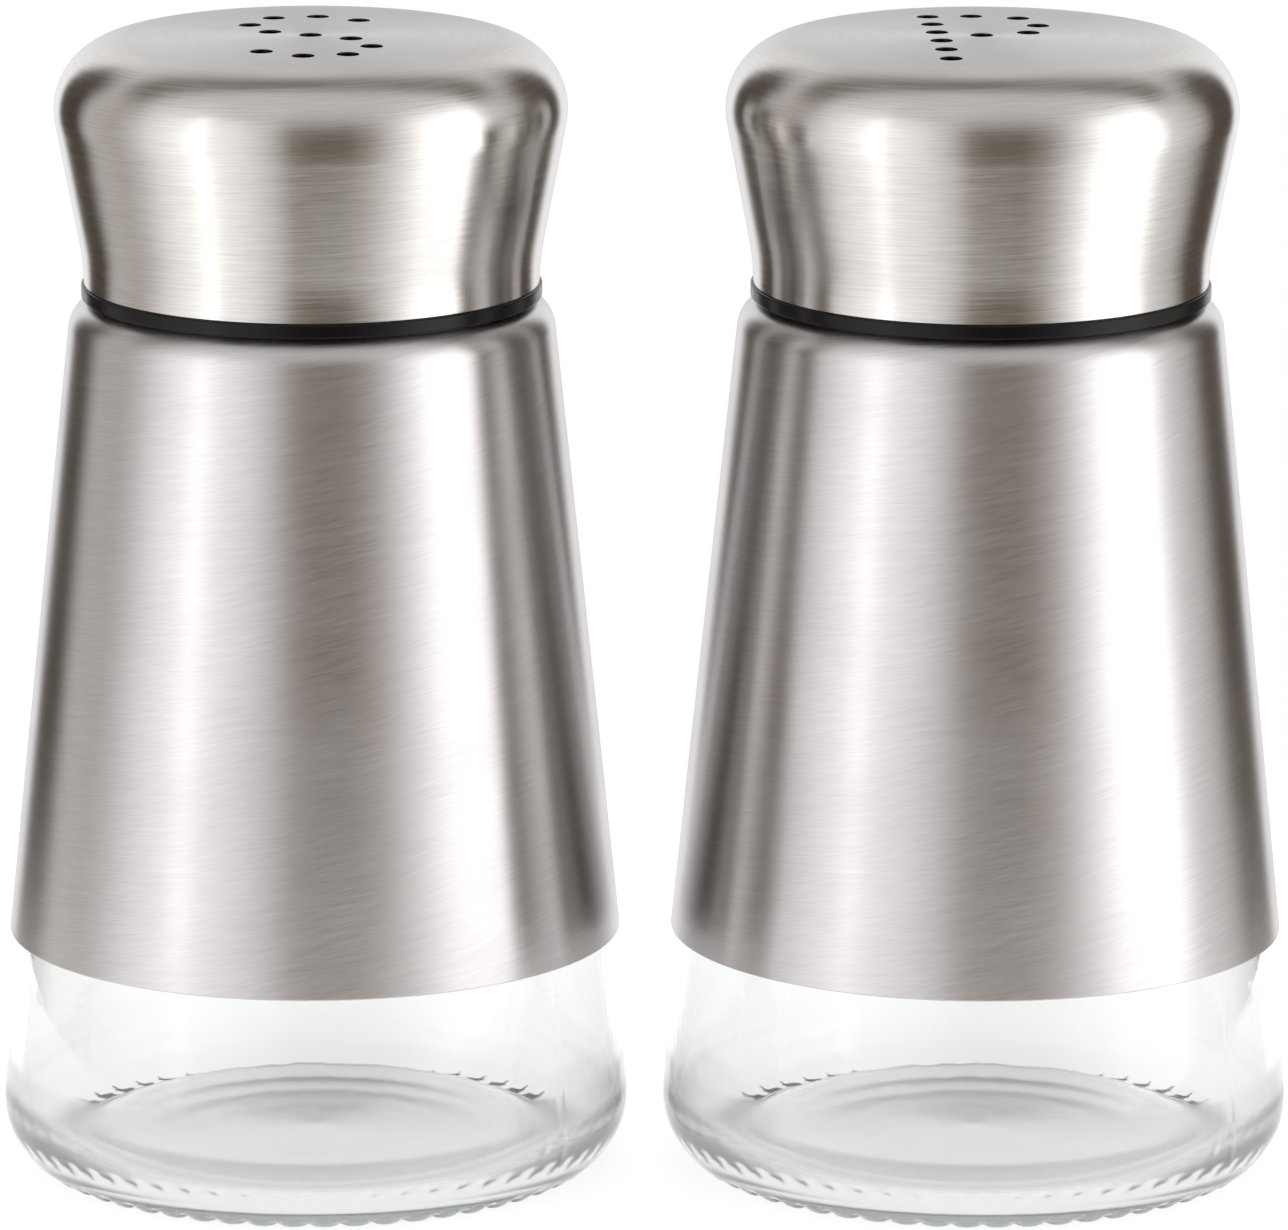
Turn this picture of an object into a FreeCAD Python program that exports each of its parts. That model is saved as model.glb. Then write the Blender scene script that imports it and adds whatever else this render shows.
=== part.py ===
"""Salt and pepper shakers: two glass bottles in steel sleeves, each with a perforated steel screw cap.

Every shaker is a glass bottle with a knurled foot and a threaded neck, a conical steel sleeve over the
bottle, and a cap made of a steel shell on a threaded plastic insert with a sealing gasket above its thread.
Writes one STEP file per piece to parts/. Millimetres, +Z up, origin on the table midway between the two
shakers, salt on the -X side and pepper on the +X side.
"""

import FreeCAD, Part

import math
import os

V = FreeCAD.Vector

# ---- driving dimensions, millimetres and degrees ----
total_height = 112.9        # table to the crown of the cap
base_radius = 31.0          # the bottle at its widest, just above the heel
axis_spacing = 65.6         # between the two shakers' axes
steel = 0.5                 # sheet thickness of the sleeve and of the cap shell

# glass bottle, body
wall = 1.7                  # body wall under the sleeve
heel_wall = 1.15            # the wall thins down to this where it meets the floor
heel_radius = 7.5           # rounding from the side into the foot
widest_z = 6.3              # height of the widest point
side_angle = 4.8            # lean of the bare glass below the sleeve
foot_inner_radius = 24.2    # inner edge of the bearing ring
push_up = 1.9               # how far the underside is hollowed at the middle
floor_z = 3.2               # inside floor at the middle
ridge_radius = 21.5         # ring that stands up round the inside floor
ridge_z = 5.4               # where its two slopes would meet
channel_z = 2.1             # low place between the ring and the wall
heel_inner_radius = 5.2     # inside rounding between the wall and that low place

# knurled bearing ring: radial grooves that leave a bar between each two
knurl_count = 56
groove_radius = 1.05
groove_depth = 0.5
groove_start = 26.4         # the ring inside this radius stays whole

# glass bottle, neck: a 38 mm continuous-thread finish
neck_bore = 14.7
neck_radius = 17.4          # root of the thread
thread_crest = 18.65
thread_pitch = 4.23         # six threads to the inch
thread_turns = 1.12
thread_start_z = 91.4       # centre of the ridge where it begins
rim_z = 98.0
bead_radius = 18.5          # transfer bead under the thread
bead_z = 88.0

# steel sleeve
sleeve_bottom_z = 23.5
sleeve_bottom_radius = 30.27
sleeve_top_z = 86.85
sleeve_top_radius = 23.6    # where the cone would meet the flat top
sleeve_shoulder = 3.0
sleeve_hole_radius = 19.8
sleeve_gap = 0.1            # between the sides of the sleeve and of the glass

# plastic cap insert
ring_radius = 22.6          # the band that shows under the steel
ring_bottom_z = 87.05
ring_top_z = 88.5           # the steel cap sits on it
insert_radius = 21.6
insert_bore = 19.0
insert_flange_z = 98.9      # underside of the flange that presses the gasket
insert_top_z = 100.4
insert_hole_radius = 14.6
female_crest = 17.75
female_turns = 1.25
female_offset = 1.8         # ridge centres: the insert's thread sits this far below the bottle's
female_start_angle = 30.0
rib_count = 12
rib_width = 1.4
rib_clearance = 0.05

# gasket between the bottle's rim and the insert's flange
gasket_radius = 18.6
gasket_gap = 0.05

# steel cap shell
lip_radius = 22.35
lip_z = 88.5
waist_radius = 22.0         # hollow curve just above the lip
flare_angle = 10.8          # lean of the cap's side
cap_radius = 25.1           # the cap at its widest
cap_shoulder = 7.0
hole_radius = 1.1

# pour holes, from the middle of the crown. The S is the same upside down, so half of it is enough.
s_half = [(4.5, 9.1), (0.4, 11.4), (-3.9, 10.5), (-6.1, 6.1), (-4.0, 1.9)]
stem_x = -4.3
stem_pitch = 4.85
stem_holes = 6
bowl = [(4.3, 0.0), (8.8, -1.5), (10.3, -6.2), (8.9, -10.4), (4.2, -11.7)]   # from the top of the P's stem
stem_lean = 3.6             # how far past square the pepper cap comes to rest when tight


# ---- outlines ----
def rounded(points):
    """Edges of a closed outline in the XZ plane. Each point is (r, z) or (r, z, corner radius)."""
    corners = []
    for i, point in enumerate(points):
        here = V(point[0], 0, point[1])
        radius = point[2] if len(point) > 2 else 0
        if not radius:
            corners.append((here, None, here))
            continue
        before = points[i - 1]
        after = points[(i + 1) % len(points)]
        back = (V(before[0], 0, before[1]) - here).normalize()
        on = (V(after[0], 0, after[1]) - here).normalize()
        half = back.getAngle(on) / 2
        to_tangent = radius / math.tan(half)
        to_middle = radius / math.sin(half) - radius
        inward = (back + on).normalize()
        corners.append((here + back * to_tangent, here + inward * to_middle, here + on * to_tangent))
    edges = []
    for i, (start, middle, end) in enumerate(corners):
        if middle:
            edges.append(Part.Arc(start, middle, end).toShape())
        following = corners[(i + 1) % len(corners)][0]
        edges.append(Part.LineSegment(end, following).toShape())
    return edges


def circle_point(centre, radius, degrees):
    """The point of a circle in the XZ plane at an angle above the outward direction."""
    angle = math.radians(degrees)
    return V(centre[0] + radius * math.cos(angle), 0, centre[1] + radius * math.sin(angle))


def arc(centre, radius, start, end):
    """A circular edge in the XZ plane between two angles, in degrees."""
    middle = circle_point(centre, radius, (start + end) / 2)
    return Part.Arc(circle_point(centre, radius, start), middle, circle_point(centre, radius, end)).toShape()


def join(edges):
    """The edges in order, with a straight one wherever two of them don't meet, closed at the end."""
    joined = []
    for i, edge in enumerate(edges):
        end = edge.lastVertex(True).Point
        following = edges[(i + 1) % len(edges)].firstVertex(True).Point
        joined.append(edge)
        if end.distanceToPoint(following) > 1e-6:
            joined.append(Part.LineSegment(end, following).toShape())
    return joined


def revolve(edges):
    """The solid that a closed outline sweeps about the Z axis."""
    return Part.Face(Part.Wire(edges)).revolve(V(0, 0, 0), V(0, 0, 1), 360)


def ridge(inner, inner_half, outer, outer_half, start_z, turns, start_angle=0.0):
    """A helical thread ridge with a four-sided section between two radii, right-handed about Z."""
    helix = Part.makeHelix(thread_pitch, thread_pitch * turns, (inner + outer) / 2)
    section = [(inner, -inner_half), (outer, -outer_half), (outer, outer_half), (inner, inner_half)]
    corners = [V(r, 0, z) for r, z in section]
    profile = Part.makePolygon(corners + corners[:1])
    solid = Part.Wire(helix.Edges).makePipeShell([profile], True, True)
    solid.rotate(V(0, 0, 0), V(0, 0, 1), start_angle)
    solid.translate(V(0, 0, start_z + thread_pitch * start_angle / 360))
    return solid


# ---- pieces ----
def sleeve_outline_radius(z):
    """Outer radius of the sleeve's cone at a height."""
    share = (z - sleeve_bottom_z) / (sleeve_top_z - sleeve_bottom_z)
    return sleeve_bottom_radius + (sleeve_top_radius - sleeve_bottom_radius) * share


def glass_bottle():
    """Bottle with a hollowed, knurled foot, a ringed floor, a conical body, and a neck with a bead and a thread."""
    heel = (base_radius - heel_radius, widest_z)
    foot_angle = -math.degrees(math.asin(widest_z / heel_radius))
    tangent = circle_point(heel, heel_radius, side_angle)
    rise = sleeve_bottom_z - tangent.z
    bare_top = (tangent.x - rise * math.tan(math.radians(side_angle)), sleeve_bottom_z)
    shoulder_z = sleeve_top_z - steel
    shoulder_radius = sleeve_outline_radius(shoulder_z) - steel - sleeve_gap
    bead_low, bead_high = bead_z - 0.7, bead_z + 0.7
    outside = rounded([
        (0, push_up),
        (12, push_up - 0.4, 40),
        (foot_inner_radius - 2.2, 0.9, 1.5),
        (foot_inner_radius, 0, 0.6),
        (circle_point(heel, heel_radius, foot_angle).x, 0),
        (tangent.x, tangent.z),
        bare_top,
        (shoulder_radius, shoulder_z, sleeve_shoulder - steel),
        (neck_radius, shoulder_z, 0.6),
        (neck_radius, bead_low, 0.3),
        (bead_radius, bead_low, 0.4),
        (bead_radius, bead_high, 0.5),
        (neck_radius, bead_high, 0.3),
        (neck_radius, rim_z, 0.7),
        (neck_bore, rim_z, 0.9),
        (neck_bore, shoulder_z - 0.5, 3.0),
        (shoulder_radius - wall, shoulder_z - 2.6, 3.5),
        (bare_top[0] - wall, sleeve_bottom_z, 60),
        (tangent.x - heel_wall, channel_z, heel_inner_radius),
        (foot_inner_radius, channel_z, 2.5),
        (ridge_radius, ridge_z, 1.5),
        (10, floor_z + 0.25, 40),
        (0, floor_z),
    ])
    chord = (circle_point(heel, heel_radius, foot_angle), tangent)
    edges = [
        arc(heel, heel_radius, foot_angle, side_angle) if is_between(edge, *chord) else edge
        for edge in outside
    ]
    body = revolve(edges)
    thread = ridge(neck_radius - 0.3, 1.35, thread_crest, 0.6, thread_start_z, thread_turns)
    return body.cut(knurl_grooves()).fuse(thread)


def is_between(edge, start, end):
    """True for the straight edge that runs from one point to the other."""
    ends = [vertex.Point for vertex in edge.Vertexes]
    return min(p.distanceToPoint(start) for p in ends) < 1e-6 and min(p.distanceToPoint(end) for p in ends) < 1e-6


def knurl_grooves():
    """Round-bottomed radial grooves across the outer part of the bearing ring."""
    centre_z = groove_depth - groove_radius
    groove = Part.makeCylinder(groove_radius, base_radius - groove_start, V(groove_start, 0, centre_z), V(1, 0, 0))
    grooves = []
    for i in range(knurl_count):
        turned = groove.copy()
        turned.rotate(V(0, 0, 0), V(0, 0, 1), 360 * i / knurl_count)
        grooves.append(turned)
    return Part.makeCompound(grooves)


def steel_sleeve():
    """Conical sleeve with a rounded shoulder and a flat, open top that sits on the bottle's shoulder."""
    inner_top = sleeve_top_z - steel
    return revolve(rounded([
        (sleeve_bottom_radius - steel, sleeve_bottom_z),
        (sleeve_bottom_radius, sleeve_bottom_z),
        (sleeve_top_radius, sleeve_top_z, sleeve_shoulder),
        (sleeve_hole_radius, sleeve_top_z),
        (sleeve_hole_radius, inner_top),
        (sleeve_outline_radius(inner_top) - steel, inner_top, sleeve_shoulder - steel),
    ]))


def cap_gasket():
    """Flat washer that seals the bottle's rim against the insert's flange."""
    low, high = rim_z + gasket_gap, insert_flange_z - gasket_gap
    return revolve(rounded([
        (neck_bore, low, 0.15),
        (gasket_radius, low, 0.15),
        (gasket_radius, high, 0.15),
        (neck_bore, high, 0.15),
    ]))


class CapCurve:
    """The cap's side, shoulder and crown: arcs and a line that stay tangent at any depth inside the outer face."""

    def __init__(self):
        lean = math.radians(flare_angle)
        self.waist_centre = (lip_radius + waist_radius, lip_z)
        self.shoulder_centre_r = cap_radius - cap_shoulder
        widening = self.shoulder_centre_r + cap_shoulder * math.cos(lean)
        widening -= lip_radius + waist_radius * (1 - math.cos(lean))
        straight = widening / math.sin(lean)
        rise = (waist_radius + cap_shoulder) * math.sin(lean) + straight * math.cos(lean)
        self.shoulder_centre = (self.shoulder_centre_r, lip_z + rise)
        above = total_height - self.shoulder_centre[1]
        spare = self.shoulder_centre_r ** 2 + above ** 2 - cap_shoulder ** 2
        self.crown_radius = spare / (2 * (above - cap_shoulder))
        self.crown_centre = (0, total_height - self.crown_radius)
        drop = self.shoulder_centre[1] - self.crown_centre[1]
        self.crown_angle = math.degrees(math.atan2(drop, self.shoulder_centre_r))

    def edges(self, depth):
        """The arcs from the lip to the middle of the crown, offset inwards by a depth."""
        return [
            arc(self.waist_centre, waist_radius + depth, 180, 180 - flare_angle),
            arc(self.shoulder_centre, cap_shoulder - depth, -flare_angle, self.crown_angle),
            arc(self.crown_centre, self.crown_radius - depth, self.crown_angle, 90),
        ]

    def crown_z(self, distance):
        """Height of the crown's outer face at a distance from the axis."""
        return self.crown_centre[1] + math.sqrt(self.crown_radius ** 2 - distance ** 2)


def reversed_edges(edges):
    """The same arcs, drawn the other way round."""
    turned = []
    for edge in reversed(edges):
        low, high = edge.ParameterRange
        points = [edge.valueAt(high), edge.valueAt((low + high) / 2), edge.valueAt(low)]
        turned.append(Part.Arc(*points).toShape())
    return turned


def cap_insert(curve):
    """Threaded plastic insert: a band that shows under the steel, a bore with a thread, and a top flange."""
    body = revolve(rounded([
        (insert_bore + 0.4, ring_bottom_z, 0.2),
        (ring_radius, ring_bottom_z, 0.3),
        (ring_radius, ring_top_z, 0.15),
        (insert_radius, ring_top_z),
        (insert_radius, insert_top_z, 0.5),
        (insert_hole_radius, insert_top_z, 0.4),
        (insert_hole_radius, insert_flange_z, 0.2),
        (insert_bore, insert_flange_z),
        (insert_bore, ring_top_z + 0.4),
        (insert_bore + 0.4, ring_top_z),
    ]))
    thread_z = thread_start_z - female_offset
    thread = ridge(female_crest, 0.45, insert_bore + 0.3, 1.13, thread_z, female_turns, female_start_angle)
    return body.fuse([thread, insert_ribs(curve)])


def insert_ribs(curve):
    """Ribs that fill the flare between the insert and the steel shell, and keep the shell concentric."""
    limit = revolve(join(curve.edges(steel + rib_clearance) + [axis_edge()]))
    height = insert_top_z - 0.6 - (ring_top_z + 0.8)
    blade = Part.makeBox(cap_radius, rib_width, height, V(insert_radius - 0.6, -rib_width / 2, ring_top_z + 0.8))
    ribs = []
    for i in range(rib_count):
        turned = blade.copy()
        turned.rotate(V(0, 0, 0), V(0, 0, 1), 360 * (i + 0.5) / rib_count)
        ribs.append(turned)
    return Part.makeCompound(ribs).common(limit)


def axis_edge():
    """The stretch of the axis between the lip's height and the crown's inner face."""
    return Part.LineSegment(V(0, 0, total_height - steel - rib_clearance), V(0, 0, lip_z)).toShape()


def cap_shell(curve, holes):
    """Steel shell of the cap, with the pour holes punched through its crown."""
    shell = revolve(join(curve.edges(0) + reversed_edges(curve.edges(steel))))
    return shell.cut(Part.makeCompound([punch(curve, x, y) for x, y in holes]))


def punch(curve, x, y):
    """The slug that leaves one round hole in the crown."""
    top = curve.crown_z(math.hypot(x, y))
    return Part.makeCylinder(hole_radius, 4 * steel, V(x, y, top - 3 * steel))


def letter_s():
    """Pour holes in the shape of an S: five, the middle one, and the same five turned half round."""
    return s_half + [(0.0, 0.0)] + [(-x, -y) for x, y in s_half]


def letter_p():
    """Pour holes in the shape of a P, centred on the crown and turned with the tightened cap."""
    top = stem_pitch * (stem_holes - 1) / 2
    stem = [(stem_x, top - stem_pitch * i) for i in range(stem_holes)]
    return [turned(x, y, stem_lean) for x, y in stem + [(stem_x + x, top + y) for x, y in bowl]]


def turned(x, y, degrees):
    """A point of the crown after the cap turns anticlockwise by an angle."""
    angle = math.radians(degrees)
    return x * math.cos(angle) - y * math.sin(angle), x * math.sin(angle) + y * math.cos(angle)


# ---- the pair ----
def shaker_pieces(holes):
    """The five pieces of one shaker, on their own axis."""
    curve = CapCurve()
    return {
        "glass_bottle": glass_bottle(),
        "steel_sleeve": steel_sleeve(),
        "cap_gasket": cap_gasket(),
        "cap_insert": cap_insert(curve),
        "cap_shell": cap_shell(curve, holes),
    }


def main():
    os.makedirs("parts", exist_ok=True)
    shakers = {"salt": (-axis_spacing / 2, letter_s()), "pepper": (axis_spacing / 2, letter_p())}
    for name, (x, holes) in shakers.items():
        for piece, shape in shaker_pieces(holes).items():
            shape.translate(V(x, 0, 0))
            print(f"{name}_{piece}: {len(shape.Solids)} solid, valid {shape.isValid()}, {shape.Volume:.0f} mm3")
            shape.exportStep(f"parts/{name}_{piece}.step")


main()
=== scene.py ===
"""Salt and pepper shakers: perforated steel screw caps and conical steel sleeves on clear glass bottles.

Every piece is turned about its shaker's own axis from a profile in millimetres, with its thread, knurled
foot, ribs or pour holes shaped into it, and stands for one of the CAD pieces.
"""

from math import asin, atan2, cos, degrees, hypot, pi, radians, sin, sqrt, tan

import bmesh
import bpy
from mathutils import Matrix, Vector
from mathutils.geometry import delaunay_2d_cdt


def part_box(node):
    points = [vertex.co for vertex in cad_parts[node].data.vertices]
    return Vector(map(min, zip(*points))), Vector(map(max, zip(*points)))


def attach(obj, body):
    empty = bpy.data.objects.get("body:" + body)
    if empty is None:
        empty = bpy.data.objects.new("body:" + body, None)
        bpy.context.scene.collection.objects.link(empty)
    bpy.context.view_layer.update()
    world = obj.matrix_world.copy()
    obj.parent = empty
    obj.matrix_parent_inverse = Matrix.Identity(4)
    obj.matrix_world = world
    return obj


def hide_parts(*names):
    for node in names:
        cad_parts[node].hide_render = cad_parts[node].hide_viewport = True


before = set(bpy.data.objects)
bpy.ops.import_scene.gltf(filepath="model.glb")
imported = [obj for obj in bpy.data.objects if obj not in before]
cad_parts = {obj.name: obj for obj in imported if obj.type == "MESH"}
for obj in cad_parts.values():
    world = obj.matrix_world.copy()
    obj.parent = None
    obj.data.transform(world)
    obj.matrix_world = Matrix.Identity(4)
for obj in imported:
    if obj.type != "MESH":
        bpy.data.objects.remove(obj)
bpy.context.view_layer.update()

MM = 0.001

# ---- sizes read from the frame, in millimetres about each shaker's own axis ----
SHAKERS = ("salt", "pepper")


def box_mm(piece):
    """Lowest z, highest z and half width of one of the salt shaker's pieces."""
    low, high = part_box(f"salt_{piece}")
    return low[2] / MM, high[2] / MM, (high[0] - low[0]) / 2 / MM


def axis_x(shaker):
    """The x of a shaker's axis, in metres."""
    low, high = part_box(f"{shaker}_steel_sleeve")
    return (low[0] + high[0]) / 2


_, RIM_Z, BASE_R = box_mm("glass_bottle")
SLEEVE_LOW_Z, SLEEVE_TOP_Z, SLEEVE_R = box_mm("steel_sleeve")
INSERT_LOW_Z, INSERT_TOP_Z, _ = box_mm("cap_insert")
GASKET_LOW_Z, GASKET_TOP_Z, GASKET_R = box_mm("cap_gasket")
LIP_Z, CROWN_Z, CAP_R = box_mm("cap_shell")

# ---- other sizes, millimetres and degrees ----
STEEL = 0.5                 # sheet thickness
HEEL_R = 7.5                # rounding of the glass between its side and its foot
HEEL_Z = 6.3
SIDE_ANGLE = 4.8            # lean of the bare glass
FOOT_INNER_R = 24.2         # inside of the ring that the bottle stands on
FOOT_RINGS = (25.4, 26.2, 26.6, 27.0, 27.3)     # radii of the rings of points across it, closest at the bars
PUSH_UP = 1.9               # rise of the underside to its middle
FLOOR_Z = 3.2               # inner floor, at its middle
RIDGE_R = 21.5              # soft ring that stands up round the inner floor
RIDGE_Z = 3.7
CHANNEL_Z = 2.1             # the low place between the ring and the wall
WALL = 1.7                  # thickness of the glass at the side
HEEL_WALL = 1.15
KNURLS = 56
KNURL_DEPTH = 0.4
KNURL_START = 26.4          # radius at which the bars begin on the underside
KNURL_TOP = 1.1             # height at which they have faded into the heel
BAR_CURVE = 0.93            # how near a bar's section comes to a half round
BAR_SAG = 0.735             # drop from its middle to its edge, as a share of its half width
SEAM_ANGLE = radians(-36.8)     # one of two opposite mould seams
SEAM_RISE = 0.07
NECK_R = 17.4
NECK_BORE = 14.7
BEAD_R = 18.5               # ring round the neck, just above the sleeve
BEAD_LOW_Z = 87.3
BEAD_TOP_Z = 88.7
THREAD_PITCH = 4.23
THREAD_START_Z = 91.4
THREAD_HEIGHT = 1.25
BOTTLE_TURNS = 1.12
BOTTLE_HALVES = (1.35, 0.6)     # half widths of the bottle's thread at its root and its crest
INSERT_TURNS = 1.25
INSERT_HALVES = (1.0, 0.45)
INSERT_START = radians(30)
INSERT_DROP = 1.8           # the insert's thread is this far below the bottle's, and catches under it
SLEEVE_SHOULDER = 3.0
SLEEVE_TOP_R = 23.6
SLEEVE_HOLE_R = 19.8        # the hole in the sleeve's flat top
RING_R = 22.6               # the black band that shows under the steel cap
INSERT_R = 21.6
INSERT_BORE = 19.0
FLANGE = 1.5                # thickness of the flange over the gasket
FLANGE_HOLE_R = 14.6
RIBS = 12
RIB_WIDTH = 1.4
LIP_R = 22.35
WAIST_R = 22.0              # radius of the hollow curve of the cap's side
FLARE = 10.8                # lean of the cap's side where it meets the shoulder
CAP_SHOULDER = 7.0
HOLE_R = 1.1
HOLE_MARGIN = 0.35          # flat ring kept clear round a hole
HOLES_REACH = 15            # all the holes lie inside this radius
DULL_DISC = (24.3, 6.9)     # radius and height of a flat disc over the floor: glass near it is a little rough
DULL_REACH = (5.7, 6.4)     # distances from that disc with all of the roughness, and with none of it
TABLE_GAP = 0.1             # the table top lies this far below the feet

# pour holes, from the middle of the crown. The S is the same upside down, so half of it is enough.
S_HALF = [(4.5, 9.1), (0.4, 11.4), (-3.9, 10.5), (-6.1, 6.1), (-4.0, 1.9)]
P_STEM_X = -4.3
P_STEM_PITCH = 4.85
P_STEM_HOLES = 6
P_BOWL = [(4.3, 0.0), (8.8, -1.5), (10.3, -6.2), (8.9, -10.4), (4.2, -11.7)]   # from the top of the stem
P_LEAN = 3.6

# ---- fineness of the meshes: steps round the axis, steps round a hole, and millimetres ----
SEGMENTS = {"bottle": 448, "sleeve": 224, "gasket": 160, "insert": 360, "cap": 224}
HOLE_POINTS = 32
CROWN_SPACING = 1.5         # between the points that fill the crown
CROWN_REACH = 14            # columns and rows of them each way from the middle, enough to fill it
ROW_SHARE = 0.87            # spacing of their rows, as a share of the spacing in a row
THREAD_SPACING = 0.2        # between the rings that carry a thread
NECK_RINGS = (89.6, 96.6)   # heights of the lowest and highest of them on the neck
BORE_RINGS = (89.0, 97.2)   # and in the insert's bore
NEAR = 0.1                  # a point this near a radius counts as on it


# ---- profiles: lists of (r, z) ----
def arc(centre, radius, start, end, step=5.0):
    """Points on a circle of the profile plane between two angles above the outward direction."""
    count = max(2, round(abs(end - start) / step))
    angles = [radians(start + (end - start) * i / count) for i in range(count + 1)]
    return [(centre[0] + radius * cos(a), centre[1] + radius * sin(a)) for a in angles]


def rounded(points):
    """A closed profile with each corner that gives a radius, (r, z, radius), turned into an arc."""
    path = []
    for i, point in enumerate(points):
        if len(point) < 3:
            path.append(Vector(point))
            continue
        here = Vector(point[:2])
        back = (Vector(points[i - 1][:2]) - here).normalized()
        on = (Vector(points[(i + 1) % len(points)][:2]) - here).normalized()
        half = back.angle(on) / 2
        centre = here + (back + on).normalized() * (point[2] / sin(half))
        start = here + back * (point[2] / tan(half)) - centre
        turn = start.angle_signed(here + on * (point[2] / tan(half)) - centre)
        count = max(3, round(abs(degrees(turn)) / 7))
        for k in range(count + 1):
            path.append(centre + Matrix.Rotation(-turn * k / count, 2) @ start)
    return [(p.x, p.y) for p in path]


def supported(profile, longest=2.5, margin=0.15):
    """The profile with long runs divided, and a point close to each of their ends to hold the shading."""
    full = []
    for i, start in enumerate(profile):
        end = profile[(i + 1) % len(profile)]
        length = hypot(end[0] - start[0], end[1] - start[1])
        full.append(start)
        if length < 5 * margin:
            continue
        count = max(1, round(length / longest))
        shares = [margin / length] + [k / count for k in range(1, count)] + [1 - margin / length]
        full += [(start[0] + (end[0] - start[0]) * s, start[1] + (end[1] - start[1]) * s) for s in shares]
    return full


def thread_rings(r, lowest, highest):
    """Closely spaced points up a stretch of the neck or the bore that carries a thread."""
    count = round((highest - lowest) / THREAD_SPACING)
    return [(r, lowest + THREAD_SPACING * i) for i in range(count + 1)]


def sleeve_radius(z):
    """Outer radius of the sleeve's cone at a height."""
    share = (z - SLEEVE_LOW_Z) / (SLEEVE_TOP_Z - SLEEVE_LOW_Z)
    return SLEEVE_R + (SLEEVE_TOP_R - SLEEVE_R) * share


def bottle_profile():
    """The glass, from the middle of its underside round the outside and down the inside to the floor."""
    heel = (BASE_R - HEEL_R, HEEL_Z)
    side = arc(heel, HEEL_R, -degrees(asin(HEEL_Z / HEEL_R)), SIDE_ANGLE, 2.5)
    bare_r = side[-1][0] - (SLEEVE_LOW_Z - side[-1][1]) * tan(radians(SIDE_ANGLE))
    top_z = SLEEVE_TOP_Z - STEEL
    top_r = sleeve_radius(top_z) - STEEL - 0.1
    return supported(rounded(
        [(0, PUSH_UP), (12, PUSH_UP - 0.4, 40), (FOOT_INNER_R - 2.2, 0.9, 1.5), (FOOT_INNER_R, 0, 0.6)]
        + [(r, 0) for r in FOOT_RINGS]
        + side
        + [(bare_r, SLEEVE_LOW_Z), (top_r, top_z, SLEEVE_SHOULDER - STEEL), (NECK_R, top_z, 0.6)]
        + [(NECK_R, BEAD_LOW_Z, 0.3), (BEAD_R, BEAD_LOW_Z, 0.4)]
        + [(BEAD_R, BEAD_TOP_Z, 0.5), (NECK_R, BEAD_TOP_Z, 0.3)]
        + thread_rings(NECK_R, *NECK_RINGS)
        + [(NECK_R, RIM_Z, 0.7), (NECK_BORE, RIM_Z, 0.9), (NECK_BORE, top_z - 0.5, 3.0)]
        + [(top_r - WALL, top_z - 2.6, 3.5), (bare_r - WALL, SLEEVE_LOW_Z, 60)]
        + [(side[-1][0] - HEEL_WALL, CHANNEL_Z, 5.2), (FOOT_INNER_R, CHANNEL_Z, 2.5)]
        + [(RIDGE_R, RIDGE_Z, 7.0), (10, FLOOR_Z + 0.25, 40), (0, FLOOR_Z)]))


def sleeve_profile():
    """The sleeve's cone, its shoulder rolled in to a flat top with a hole, and a square cut lower edge."""
    inner_z = SLEEVE_TOP_Z - STEEL
    return supported(rounded([
        (SLEEVE_R - STEEL, SLEEVE_LOW_Z, 0.1),
        (SLEEVE_R, SLEEVE_LOW_Z, 0.12),
        (SLEEVE_TOP_R, SLEEVE_TOP_Z, SLEEVE_SHOULDER),
        (SLEEVE_HOLE_R, SLEEVE_TOP_Z, 0.1),
        (SLEEVE_HOLE_R, inner_z, 0.1),
        (sleeve_radius(inner_z) - STEEL, inner_z, SLEEVE_SHOULDER - STEEL),
    ]))


def gasket_profile():
    """A flat washer."""
    return supported(rounded([
        (NECK_BORE, GASKET_LOW_Z, 0.2),
        (GASKET_R, GASKET_LOW_Z, 0.2),
        (GASKET_R, GASKET_TOP_Z, 0.2),
        (NECK_BORE, GASKET_TOP_Z, 0.2),
    ]))


def insert_profile():
    """The black insert: the band that shows under the steel, the bore and the flange over the gasket."""
    flange_z = INSERT_TOP_Z - FLANGE
    return supported(rounded(
        [(INSERT_BORE + 0.4, INSERT_LOW_Z, 0.15), (RING_R, INSERT_LOW_Z, 0.3), (RING_R, LIP_Z, 0.2)]
        + [(INSERT_R, LIP_Z, 0.1), (INSERT_R, INSERT_TOP_Z, 0.5), (FLANGE_HOLE_R, INSERT_TOP_Z, 0.4)]
        + [(FLANGE_HOLE_R, flange_z, 0.2), (INSERT_BORE, flange_z, 0.15)]
        + thread_rings(INSERT_BORE, *BORE_RINGS)[::-1]
        + [(INSERT_BORE + 0.4, LIP_Z, 0.3)]), longest=1.0)


def cap_curve(depth=0.0):
    """The steel cap's side and shoulder, from the lip up to the crown, at a depth inside the steel."""
    side = arc((LIP_R + WAIST_R, LIP_Z), WAIST_R + depth, 180, 180 - FLARE, 2.0)
    shoulder = arc(shoulder_centre(), CAP_SHOULDER - depth, -FLARE, crown_angle(), 4.0)
    return side + shoulder


def shoulder_centre():
    """The middle of the arc between the cap's side and its crown."""
    r = CAP_R - CAP_SHOULDER
    lean = radians(FLARE)
    widening = r + CAP_SHOULDER * cos(lean) - LIP_R - WAIST_R * (1 - cos(lean))
    return r, LIP_Z + (WAIST_R + CAP_SHOULDER) * sin(lean) + widening / tan(lean)


def crown_radius():
    """Radius of the gently domed crown, tangent to the shoulder."""
    r, z = shoulder_centre()
    rise = CROWN_Z - z
    return (r * r + rise * rise - CAP_SHOULDER ** 2) / (2 * (rise - CAP_SHOULDER))


def crown_angle():
    """The angle at which the shoulder meets the crown."""
    r, z = shoulder_centre()
    return degrees(atan2(z - CROWN_Z + crown_radius(), r))


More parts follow.
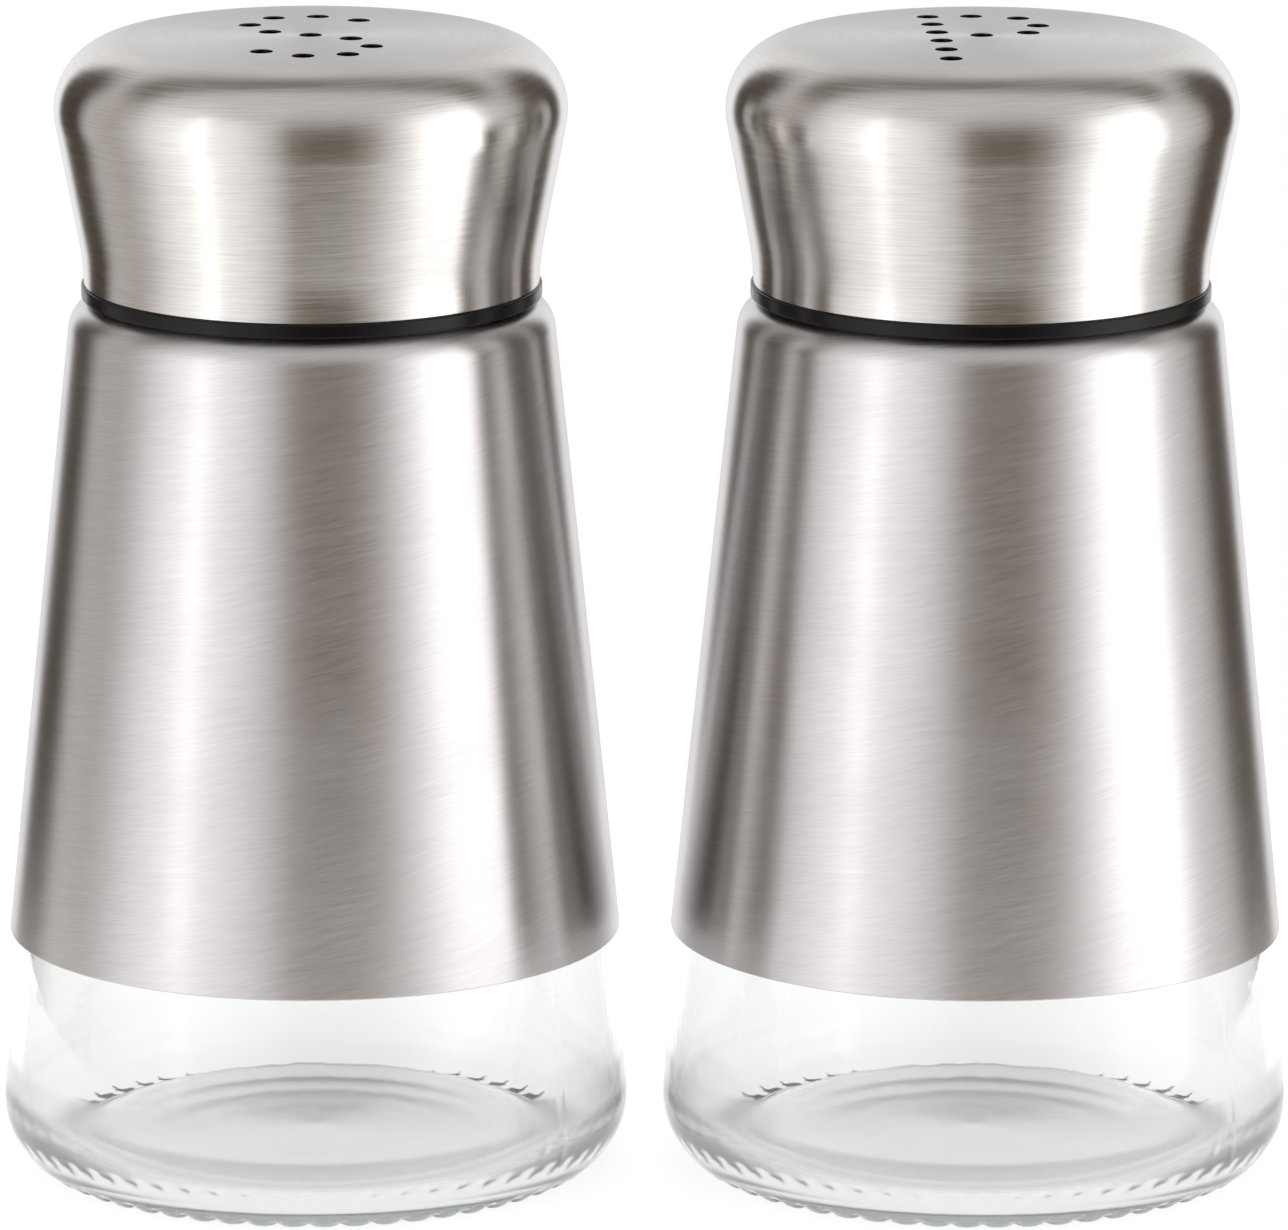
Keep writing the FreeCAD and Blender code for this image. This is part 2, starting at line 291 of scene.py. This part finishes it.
def crown_z(distance, depth=0.0):
    """Height of the crown at a distance from the axis and a depth inside the steel."""
    return CROWN_Z - crown_radius() + sqrt((crown_radius() - depth) ** 2 - distance ** 2)


# ---- what breaks the round ----
def smooth(low, high, value):
    """0 below low, 1 above high, and a smooth rise between them."""
    share = min(1.0, max(0.0, (value - low) / (high - low)))
    return share * share * (3 - 2 * share)


def thread_share(z, angle, start_z, turns, halves, start_angle=0.0):
    """Share of a thread's full height at a place: halves are its half widths at its root and its crest."""
    root, crest = halves
    tallest = 0.0
    for lap in range(-1, 2):
        turn = (angle - start_angle) / (2 * pi) + lap
        ends = smooth(0.0, 0.06, turn) * smooth(0.0, 0.06, turns - turn)
        off = abs(z - start_z - THREAD_PITCH * (turn + start_angle / (2 * pi)))
        tallest = max(tallest, ends * smooth(0.0, 1.0, (root - off) / (root - crest)))
    return tallest


def bottle_shape(r, z, normal, angle):
    """Adds the thread to the neck, bars with valleys between them to the foot, and seams to the side."""
    if z > BEAD_TOP_Z + 0.5 and abs(r - NECK_R) < NEAR:
        return r + THREAD_HEIGHT * thread_share(z, angle, THREAD_START_Z, BOTTLE_TURNS, BOTTLE_HALVES), z
    if z < KNURL_TOP and r > KNURL_START:
        pitch = 2 * pi / KNURLS
        across = 2 * ((angle / pitch) % 1) - 1
        valley = KNURL_DEPTH * (1 - sqrt(1 - BAR_CURVE * across * across)) / BAR_SAG
        depth = valley * smooth(KNURL_START, KNURL_START + 1, r) * (1 - smooth(0.2, KNURL_TOP, z))
        return r - normal[0] * depth, z - normal[1] * depth
    if normal[0] > 0.5 and z < SLEEVE_LOW_Z - 1:
        off = abs((angle - SEAM_ANGLE + pi / 2) % pi - pi / 2) * r
        return r + SEAM_RISE * (1 - smooth(0.0, 0.3, off)) * smooth(2.0, 4.0, z), z
    return r, z


def insert_shape(r, z, normal, angle):
    """Adds the thread to the bore and the ribs that hold the steel shell."""
    if z > LIP_Z + 0.3 and abs(r - INSERT_BORE) < NEAR:
        start_z = THREAD_START_Z - INSERT_DROP
        share = thread_share(z, angle, start_z, INSERT_TURNS, INSERT_HALVES, INSERT_START)
        return r - THREAD_HEIGHT * share, z
    rib = abs((angle * RIBS / (2 * pi)) % 1 - 0.5) * 2 * pi / RIBS * INSERT_R
    if LIP_Z + 0.8 < z < INSERT_TOP_Z - 0.6 and r > INSERT_R - 0.05 and rib < RIB_WIDTH / 2:
        return shell_inner_radius(z) - 0.05, z
    return r, z


def shell_inner_radius(z):
    """Inner radius of the steel cap at a height on its side."""
    inner = cap_curve(STEEL)
    for (r1, z1), (r2, z2) in zip(inner, inner[1:]):
        if z1 <= z <= z2:
            return r1 + (r2 - r1) * (z - z1) / (z2 - z1)
    return inner[0][0]


# ---- meshes ----
def profile_normals(profile):
    """Outward normals of a closed profile drawn with its inside on the left."""
    normals = []
    for i in range(len(profile)):
        before, after = profile[i - 1], profile[(i + 1) % len(profile)]
        dr, dz = after[0] - before[0], after[1] - before[1]
        length = hypot(dr, dz) or 1.0
        normals.append((dz / length, -dr / length))
    return normals


def lathe(profile, segments, shape=None, closed=True):
    """A mesh turned from a profile, with its points moved by shape(r, z, normal, angle), and its rings."""
    mesh = bmesh.new()
    normals = profile_normals(profile)
    rings = []
    for (r, z), normal in zip(profile, normals):
        if r < 1e-6:
            rings.append([mesh.verts.new((0, 0, z * MM))] * segments)
            continue
        ring = []
        for k in range(segments):
            angle = 2 * pi * k / segments
            r2, z2 = shape(r, z, normal, angle) if shape else (r, z)
            ring.append(mesh.verts.new((r2 * cos(angle) * MM, r2 * sin(angle) * MM, z2 * MM)))
        rings.append(ring)
    for low, high in zip(rings, rings[1:] + rings[:1] if closed else rings[1:]):
        join_rings(mesh, low, high)
    return mesh, rings


def join_rings(mesh, low, high):
    """Faces between two rings of the same count, with triangles where a ring is a single point."""
    count = len(low)
    for k in range(count):
        corners = [low[k], low[(k + 1) % count], high[(k + 1) % count], high[k]]
        unique = list(dict.fromkeys(corners))
        if len(unique) > 2:
            mesh.faces.new(unique)


def holes_s():
    """Pour holes in the shape of an S."""
    return S_HALF + [(0.0, 0.0)] + [(-x, -y) for x, y in S_HALF]


def holes_p():
    """Pour holes in the shape of a P, turned with the tightened cap."""
    top = P_STEM_PITCH * (P_STEM_HOLES - 1) / 2
    stem = [(P_STEM_X, top - P_STEM_PITCH * i) for i in range(P_STEM_HOLES)]
    turn = Matrix.Rotation(radians(P_LEAN), 2)
    return [tuple(turn @ Vector(p)) for p in stem + [(P_STEM_X + x, top + y) for x, y in P_BOWL]]


def cap_shell_mesh(holes):
    """The steel cap: a turned side and shoulder, and a crown pierced with holes that have soft edges."""
    lip = [(LIP_R - STEEL, LIP_Z, 0.1), (LIP_R, LIP_Z, 0.12)]
    profile = supported(rounded(cap_curve(STEEL)[:0:-1] + lip + cap_curve()[1:]))
    mesh, rings = lathe(profile, SEGMENTS["cap"], closed=False)
    inner = crown_face(mesh, rings[0], holes, STEEL)
    outer = crown_face(mesh, rings[-1], holes, 0.0)
    for (x, y), low, high in zip(holes, inner, outer):
        wall = [low]
        for radius, depth in [(0.06, STEEL), (0.0, STEEL - 0.06), (0.0, 0.12), (0.035, 0.035), (0.12, 0.0)]:
            wall.append(hole_ring(mesh, x, y, HOLE_R + radius, depth))
        for ring, following in zip(wall, wall[1:] + [high]):
            join_rings(mesh, ring, following)
    return mesh


def hole_points(x, y, radius):
    """Places round a pour hole, on the plan of the crown."""
    angles = [2 * pi * k / HOLE_POINTS for k in range(HOLE_POINTS)]
    return [Vector((x + radius * cos(a), y + radius * sin(a))) for a in angles]


def hole_ring(mesh, x, y, radius, depth):
    """A ring of vertices round a pour hole, at a depth below the crown's outer face."""
    points = hole_points(x, y, radius)
    return [mesh.verts.new((p.x * MM, p.y * MM, (crown_z(p.length) - depth) * MM)) for p in points]


def crown_face(mesh, rim, holes, depth):
    """Fills one face of the crown inside its rim, around the holes, and gives the ring round each hole."""
    clear = HOLE_R + HOLE_MARGIN
    rim_plan = [Vector(v.co.xy) / MM for v in rim]
    rings = [hole_ring(mesh, x, y, clear, depth) for x, y in holes]
    loops = [rim_plan] + [hole_points(x, y, clear) for x, y in holes]
    fixed = list(rim) + [v for ring in rings for v in ring]
    plan = [p for loop in loops for p in loop] + crown_filling(rim_plan[0].length, holes, clear)
    found, _, faces, origin, _, _ = delaunay_2d_cdt(plan, loop_edges(loops), [], 0, 1e-6)
    verts = []
    for p, sources in zip(found, origin):
        if sources and sources[0] < len(fixed):
            verts.append(fixed[sources[0]])
        else:
            verts.append(mesh.verts.new((p.x * MM, p.y * MM, crown_z(p.length, depth) * MM)))
    for face in faces:
        middle = sum((found[i] for i in face), Vector((0, 0))) / len(face)
        if all((middle - Vector(h)).length > clear for h in holes):
            mesh.faces.new([verts[i] for i in face])
    return rings


def loop_edges(loops):
    """Pairs of point numbers that close each of several loops laid end to end."""
    edges = []
    first = 0
    for loop in loops:
        edges += [(first + k, first + (k + 1) % len(loop)) for k in range(len(loop))]
        first += len(loop)
    return edges


def crown_filling(radius, holes, clear):
    """A triangular grid of points inside a radius, kept off the holes."""
    steps = range(-CROWN_REACH, CROWN_REACH + 1)
    grid = [Vector((i + (j % 2) / 2, j * ROW_SHARE)) * CROWN_SPACING for i in steps for j in steps]
    inside = [p for p in grid if p.length < radius - CROWN_SPACING / 2]
    return [p for p in inside if all((p - Vector(h)).length > clear + 0.5 for h in holes)]


# ---- materials ----
def add_node(tree, kind, inputs=None, **settings):
    """Adds a node, sets its properties, and sets or links its inputs."""
    node = tree.nodes.new(kind)
    for name, value in settings.items():
        setattr(node, name, value)
    set_inputs(tree, node, inputs or {})
    return node


def set_inputs(tree, node, inputs):
    """Sets or links the inputs of a node."""
    for name, value in inputs.items():
        if isinstance(value, bpy.types.NodeSocket):
            tree.links.new(value, node.inputs[name])
        else:
            node.inputs[name].default_value = value


def new_material(name):
    """A material with an empty node tree apart from its output and a Principled shader, joined."""
    material = bpy.data.materials.new(name)
    material.use_nodes = True
    tree = material.node_tree
    tree.nodes.clear()
    shader = add_node(tree, "ShaderNodeBsdfPrincipled")
    output = add_node(tree, "ShaderNodeOutputMaterial", {"Surface": shader.outputs["BSDF"]})
    return material, tree, shader, output


def maths(tree, operation, first, second=0.0):
    """The result of a Math node."""
    return add_node(tree, "ShaderNodeMath", {0: first, 1: second}, operation=operation).outputs[0]


def spread(tree, value, low, high, start=0.3, end=0.7):
    """A value between start and end spread from low to high, and held at either beyond them."""
    ranges = {"Value": value, "From Min": start, "From Max": end, "To Min": low, "To Max": high}
    return add_node(tree, "ShaderNodeMapRange", ranges).outputs["Result"]


def mix_colours(tree, share, first, second):
    """A colour between two, by share."""
    inputs = {0: share, 6: first, 7: second}
    return add_node(tree, "ShaderNodeMix", inputs, data_type="RGBA").outputs[2]


def grey(value):
    """A neutral colour."""
    return value, value, value, 1.0


def place_on_piece(tree):
    """Where a point of the surface lies, about its shaker's axis."""
    return add_node(tree, "ShaderNodeTexCoord").outputs["Object"]


def parts_of(tree, vector):
    """The x, y and z of a vector."""
    return add_node(tree, "ShaderNodeSeparateXYZ", {0: vector}).outputs


def length_of(tree, vector):
    """The length of a vector."""
    return add_node(tree, "ShaderNodeVectorMath", {0: vector}, operation="LENGTH").outputs["Value"]


def radius_of(tree, place):
    """Distance of a place from the shaker's axis."""
    flat = {0: place, 1: (1.0, 1.0, 0.0)}
    return length_of(tree, add_node(tree, "ShaderNodeVectorMath", flat, operation="MULTIPLY").outputs[0])


def noise(tree, place, scale, detail):
    """Cloudy noise over a place."""
    inputs = {"Vector": place, "Scale": scale, "Detail": detail}
    return add_node(tree, "ShaderNodeTexNoise", inputs).outputs["Fac"]


def bumpy(tree, height, strength, depth):
    """The surface's normal tipped by a relief of a depth in millimetres."""
    inputs = {"Height": height, "Strength": strength, "Distance": depth * MM}
    return add_node(tree, "ShaderNodeBump", inputs).outputs[0]


def grain(tree, length, width, slant):
    """Noise drawn out into hairlines that run round the shaker's axis, on the sides and the crown alike.

    Length and width are in millimetres, and slant is the rise of a hairline for each step to the side.
    """
    place = place_on_piece(tree)
    x, y, z = parts_of(tree, place)
    across = maths(tree, "SUBTRACT", z, radius_of(tree, place))
    tilted = maths(tree, "ADD", across, maths(tree, "MULTIPLY", x, -slant))
    vector = add_node(tree, "ShaderNodeCombineXYZ", {
        0: maths(tree, "DIVIDE", x, length * MM),
        1: maths(tree, "DIVIDE", y, length * MM),
        2: maths(tree, "DIVIDE", tilted, width * MM),
    }).outputs[0]
    return noise(tree, vector, 1.0, 2.0)


def painted_hole_shade(tree):
    """1 on the crown's underside and the walls of its holes, and 0 elsewhere: the places given painted shade.
    """
    facing = add_node(tree, "ShaderNodeNewGeometry").outputs["True Normal"]
    not_up = maths(tree, "LESS_THAN", parts_of(tree, facing)[2], 0.5)
    near_axis = maths(tree, "LESS_THAN", radius_of(tree, place_on_piece(tree)), HOLES_REACH * MM)
    return maths(tree, "MULTIPLY", near_axis, not_up)


def brushed_steel(name, roughness, anisotropy, relief, slant, blue):
    """Stainless steel brushed round its axis, with long fine hairlines, short slanting ones and cloudy wear.

    The crown's underside and the walls of its holes are painted near black, as painted shade for the dark
    inside of the cap. Blue is a share of the colour's red.
    """
    material, tree, shader, _ = new_material(name)
    fine = grain(tree, 9.0, 0.10, slant / 3)
    stray = grain(tree, 4.0, 0.2, slant)
    lines = maths(tree, "ADD", maths(tree, "MULTIPLY", fine, 0.5), maths(tree, "MULTIPLY", stray, 0.5))
    cloud = noise(tree, place_on_piece(tree), 90.0, 3.0)
    cloudy = spread(tree, cloud, roughness - 0.03, roughness + 0.03)
    dark, pale = (0.55, 0.527, 0.55 * blue, 1.0), (0.68, 0.656, 0.68 * blue, 1.0)
    tone = mix_colours(tree, spread(tree, lines, 0.0, 1.0), dark, pale)
    tangent = add_node(tree, "ShaderNodeTangent", direction_type="RADIAL", axis="Z")
    set_inputs(tree, shader, {
        # painted shade: near black on the crown's underside and the walls of the pour holes
        "Base Color": mix_colours(tree, painted_hole_shade(tree), tone, grey(0.02)),
        "Metallic": 1.0,
        "Roughness": maths(tree, "ADD", spread(tree, lines, -0.03, 0.03), cloudy),
        "Anisotropic": anisotropy,
        "Anisotropic Rotation": 0.25,
        "Tangent": tangent.outputs[0],
        "Normal": bumpy(tree, lines, relief, 0.02),
    })
    return material


def distance_from_disc(tree, radius, height):
    """Distance from a flat disc about the shaker's axis."""
    place = place_on_piece(tree)
    above = maths(tree, "SUBTRACT", parts_of(tree, place)[2], height * MM)
    past = maths(tree, "MAXIMUM", maths(tree, "SUBTRACT", radius_of(tree, place), radius * MM), 0.0)
    return length_of(tree, add_node(tree, "ShaderNodeCombineXYZ", {0: past, 2: above}).outputs[0])


def clear_glass():
    """Moulded glass with a faint green body, slow ripples, and a slightly rough floor and inner corner."""
    material, tree, shader, output = new_material("clear_glass")
    ripple = noise(tree, place_on_piece(tree), 140.0, 2.0)
    off_disc = distance_from_disc(tree, *DULL_DISC)
    dull_to, clear_from = DULL_REACH
    set_inputs(tree, shader, {
        "Base Color": mix_colours(tree, ripple, (0.94, 0.942, 0.942, 1.0), grey(0.968)),
        "Roughness": spread(tree, off_disc, 0.2, 0.0, dull_to * MM, clear_from * MM),
        "IOR": 1.5,
        "Transmission Weight": 1.0,
        "Normal": bumpy(tree, ripple, 0.25, 0.15),
    })
    body = {"Color": (0.8, 0.93, 0.87, 1.0), "Density": 12.0}
    absorption = add_node(tree, "ShaderNodeVolumeAbsorption", body)
    tree.links.new(absorption.outputs[0], output.inputs["Volume"])
    return material


def black_plastic():
    """Glossy black moulded plastic with slow flow waves."""
    material, tree, shader, _ = new_material("black_plastic")
    flow = noise(tree, place_on_piece(tree), 320.0, 3.0)
    set_inputs(tree, shader, {
        "Base Color": mix_colours(tree, flow, (0.003, 0.0028, 0.003, 1.0), (0.006, 0.0055, 0.006, 1.0)),
        "Roughness": spread(tree, flow, 0.16, 0.28),
        "Specular IOR Level": 0.2,
        "Normal": bumpy(tree, flow, 0.15, 0.05),
    })
    return material


def foam_liner():
    """Off-white closed-cell liner."""
    material, tree, shader, _ = new_material("foam_liner")
    pattern = {"Vector": place_on_piece(tree), "Scale": 3500.0}
    cells = add_node(tree, "ShaderNodeTexVoronoi", pattern).outputs["Distance"]
    set_inputs(tree, shader, {
        "Base Color": mix_colours(tree, cells, (0.72, 0.71, 0.68, 1.0), (0.82, 0.81, 0.78, 1.0)),
        "Roughness": 0.75,
        "Normal": bumpy(tree, cells, 0.3, 0.05),
    })
    return material


# ---- pieces ----
# name, then the body it rides on, the CAD node it replaces and its material slot
PIECES = [
    ("bottle", "shaker", "glass_bottle", "glass"),
    ("sleeve", "shaker", "steel_sleeve", "sleeve_steel"),
    ("gasket", "gasket", "cap_gasket", "gasket"),
    ("insert", "cap", "cap_insert", "black_plastic"),
    ("cap", "cap", "cap_shell", "cap_steel"),
]


def place_piece(name, mesh, material, shaker, body, node):
    """Stands a mesh on its shaker's axis as a piece that replaces a CAD node and rides on a body."""
    bmesh.ops.recalc_face_normals(mesh, faces=mesh.faces)
    data = bpy.data.meshes.new(name)
    mesh.to_mesh(data)
    mesh.free()
    data.shade_smooth()
    data.materials.append(material)
    piece = bpy.data.objects.new(name, data)
    piece.location.x = axis_x(shaker)
    bpy.context.scene.collection.objects.link(piece)
    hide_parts(f"{shaker}_{node}")
    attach(piece, f"{shaker}_{body}")


def make_shaker(shaker, holes, materials):
    """The five pieces of one shaker."""
    meshes = {
        "bottle": lathe(bottle_profile(), SEGMENTS["bottle"], bottle_shape)[0],
        "sleeve": lathe(sleeve_profile(), SEGMENTS["sleeve"])[0],
        "gasket": lathe(gasket_profile(), SEGMENTS["gasket"])[0],
        "insert": lathe(insert_profile(), SEGMENTS["insert"], insert_shape)[0],
        "cap": cap_shell_mesh(holes),
    }
    for name, body, node, slot in PIECES:
        place_piece(f"{shaker}_{name}_fine", meshes[name], materials[slot], shaker, body, node)


# ---- studio ----
# brightness of the surroundings at eye level, by degrees round from the camera's side towards +X
RING = [
    (-180, 0.75), (-166, 1.0), (-154, 1.2), (-148, 0.07), (-128, 0.07), (-118, 0.68), (-98, 0.54),
    (-88, 0.72), (-76, 1.15), (-58, 1.6), (-52, 2.2), (-45, 1.5), (-28, 1.12), (-16, 0.72), (-7, 0.24),
    (2, 0.15), (18, 0.15), (28, 0.36), (36, 0.7), (46, 1.25), (58, 2.1), (82, 2.3), (92, 1.05),
    (112, 0.65), (124, 0.1), (146, 0.07), (154, 1.2), (166, 1.0), (180, 0.75),
]
# brightness overhead, by degrees up from the horizon on the camera's side to the one behind
OVERHEAD = [(0, 0.7), (92, 0.85), (100, 0.12), (118, 0.12), (128, 0.8), (180, 1.0)]
BRIGHTEST = 2.4             # the most that a ramp can hold
RING_TOP = 28               # degrees above the horizon at which the ring starts to give way to the ceiling
CEILING_EDGE = 42
TABLE_R = 0.15              # metres

# ---- the camera: metres, degrees and the focal length in millimetres ----
CAMERA_PLACE = (-0.00468, -0.98704, 0.28034)
LOOK_DOWN = 12.866
LOOK_RIGHT = 0.262
ROLL = 0.115
LENS = 286.48


def panel_colour(brightness):
    """Light of a given brightness, warm where it is dim, as a share of the brightest the ramps can hold."""
    warmth = 0.36 * max(0.0, 0.75 - brightness)
    share = brightness / BRIGHTEST
    return share * (1 + warmth), share, share * (1.015 - warmth), 1.0


def brightness_ramp(tree, share, stops, first, last):
    """A ramp through stops of (degrees, brightness), read at a share of the way from first to last."""
    node = add_node(tree, "ShaderNodeValToRGB", {"Fac": share})
    points = node.color_ramp.elements
    for degree, _ in stops[1:-1]:
        points.new((degree - first) / (last - first))
    for point, (_, brightness) in zip(points, stops):
        point.color = panel_colour(brightness)
    return node.outputs["Color"]


def studio_light():
    """Soft boxes and dark gaps in a ring at eye level under a pale ceiling, and plain white to the camera."""
    world = bpy.data.worlds.new("studio")
    bpy.context.scene.world = world
    world.use_nodes = True
    tree = world.node_tree
    tree.nodes.clear()
    x, y, z = parts_of(tree, add_node(tree, "ShaderNodeTexCoord").outputs["Generated"])
    near = maths(tree, "MULTIPLY", y, -1.0)
    round_share = maths(tree, "ADD", maths(tree, "DIVIDE", maths(tree, "ARCTAN2", x, near), 2 * pi), 0.5)
    over_share = maths(tree, "DIVIDE", maths(tree, "ARCTAN2", z, near), pi)
    ring = brightness_ramp(tree, round_share, RING, -180, 180)
    overhead = brightness_ramp(tree, over_share, OVERHEAD, 0, 180)
    height = spread(tree, z, 0.0, 1.0, sin(radians(RING_TOP)), sin(radians(CEILING_EDGE)))
    mixed = mix_colours(tree, height, ring, overhead)
    light = add_node(tree, "ShaderNodeBackground", {"Color": mixed, "Strength": BRIGHTEST}).outputs[0]
    plain = add_node(tree, "ShaderNodeBackground", {"Color": grey(1.0), "Strength": 1.0}).outputs[0]
    path = add_node(tree, "ShaderNodeLightPath").outputs
    paler = maths(tree, "MULTIPLY", path["Is Transmission Ray"], 0.3)
    white = maths(tree, "MAXIMUM", path["Is Camera Ray"], paler)
    sky = add_node(tree, "ShaderNodeMixShader", {0: white, 1: light, 2: plain}).outputs[0]
    add_node(tree, "ShaderNodeOutputWorld", {"Surface": sky})


def white_table():
    """A pale table top, bright enough to merge with the white behind it."""
    mesh = bmesh.new()
    bmesh.ops.create_circle(mesh, cap_ends=True, segments=96, radius=TABLE_R)
    data = bpy.data.meshes.new("table")
    mesh.to_mesh(data)
    mesh.free()
    material, tree, shader, _ = new_material("white_table")
    set_inputs(tree, shader, {
        "Base Color": grey(0.26),
        "Roughness": 0.6,
        "Emission Color": grey(1.0),
        "Emission Strength": 0.88,
    })
    data.materials.append(material)
    table = bpy.data.objects.new("table", data)
    table.location.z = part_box("salt_glass_bottle")[0][2] - TABLE_GAP * MM
    bpy.context.scene.collection.objects.link(table)


def camera():
    """A long lens a metre away, looking a little down at the pair."""
    data = bpy.data.cameras.new("camera")
    data.sensor_width = 36.0
    data.lens = LENS
    view = bpy.data.objects.new("camera", data)
    aim = Matrix.Rotation(radians(-LOOK_RIGHT), 4, "Z") @ Matrix.Rotation(radians(90 - LOOK_DOWN), 4, "X")
    view.matrix_world = Matrix.Translation(CAMERA_PLACE) @ aim @ Matrix.Rotation(radians(ROLL), 4, "Z")
    bpy.context.scene.collection.objects.link(view)
    bpy.context.scene.camera = view


def light_paths():
    """Paths long enough for light that is passed on many times inside the walls of the glass."""
    cycles = bpy.context.scene.cycles
    cycles.max_bounces = 30
    cycles.transmission_bounces = 30
    cycles.glossy_bounces = 16


bpy.context.scene.view_settings.view_transform = "Standard"
light_paths()
materials_by_slot = {
    "sleeve_steel": brushed_steel(
        "sleeve_steel", roughness=0.33, anisotropy=0.86, relief=0.4, slant=0.33, blue=0.95),
    "cap_steel": brushed_steel(
        "cap_steel", roughness=0.22, anisotropy=0.93, relief=0.3, slant=0.06, blue=0.92),
    "glass": clear_glass(),
    "black_plastic": black_plastic(),
    "gasket": foam_liner(),
}
for shaker_name, pour_holes in zip(SHAKERS, (holes_s(), holes_p())):
    make_shaker(shaker_name, pour_holes, materials_by_slot)
studio_light()
white_table()
camera()
